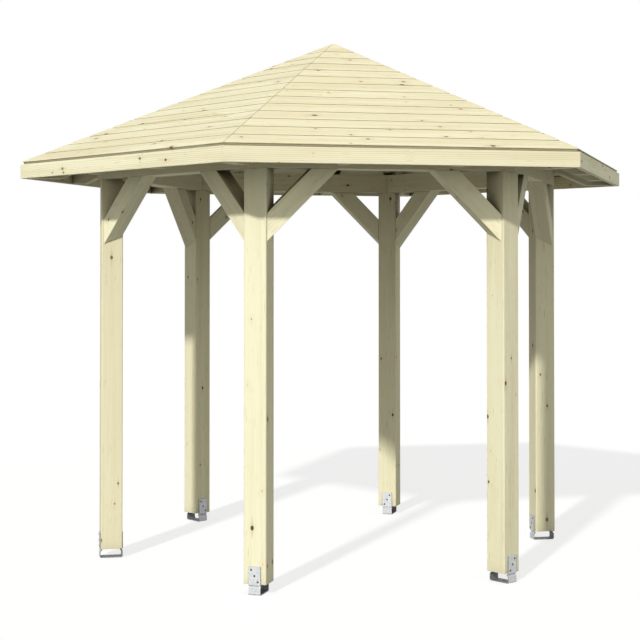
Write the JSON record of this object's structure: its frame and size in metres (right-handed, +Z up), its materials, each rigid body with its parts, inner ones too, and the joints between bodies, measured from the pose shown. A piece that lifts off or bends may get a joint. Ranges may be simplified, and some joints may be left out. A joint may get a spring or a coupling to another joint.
{
  "type": "garden gazebo",
  "caption": "Open six-sided timber garden gazebo with posts on steel anchors, knee braces, a ring beam and a boarded tent roof.",
  "frame": {"origin": "on the ground at the centre of the gazebo, on the axis through its apex", "axes": "+Z up to the apex, +X through two opposite posts, -Y out through the front doorway"},
  "size_m": [3.4642, 3, 2.833],
  "materials": {
    "spruce": "matte",
    "galvanised_steel": "satin"
  },
  "bodies": {
    "root": {"post_anchor_left": "galvanised_steel", "post_anchor_front_left": "galvanised_steel", "post_anchor_front_right": "galvanised_steel", "post_anchor_right": "galvanised_steel", "post_anchor_back_right": "galvanised_steel", "post_anchor_back_left": "galvanised_steel", "post_left": "spruce", "post_front_left": "spruce", "post_front_right": "spruce", "post_right": "spruce", "post_back_right": "spruce", "post_back_left": "spruce", "ring_beam_front_left": "spruce", "ring_beam_front": "spruce", "ring_beam_front_right": "spruce", "ring_beam_back_right": "spruce", "ring_beam_back": "spruce", "ring_beam_back_left": "spruce", "knee_braces_front_left": "spruce", "knee_braces_front": "spruce", "knee_braces_front_right": "spruce", "knee_braces_back_right": "spruce", "knee_braces_back": "spruce", "knee_braces_back_left": "spruce", "hip_rafter_left": "spruce", "hip_rafter_front_left": "spruce", "hip_rafter_front_right": "spruce", "hip_rafter_right": "spruce", "hip_rafter_back_right": "spruce", "hip_rafter_back_left": "spruce", "jack_rafters_front": "spruce", "jack_rafters_back": "spruce", "king_block": "spruce", "fascia_front_left": "spruce", "fascia_front": "spruce", "fascia_front_right": "spruce", "fascia_back_right": "spruce", "fascia_back": "spruce", "fascia_back_left": "spruce", "roof_deck_front_left": "spruce", "roof_deck_front": "spruce", "roof_deck_front_right": "spruce", "roof_deck_back_right": "spruce", "roof_deck_back": "spruce", "roof_deck_back_left": "spruce"}
  },
  "joints": []
}
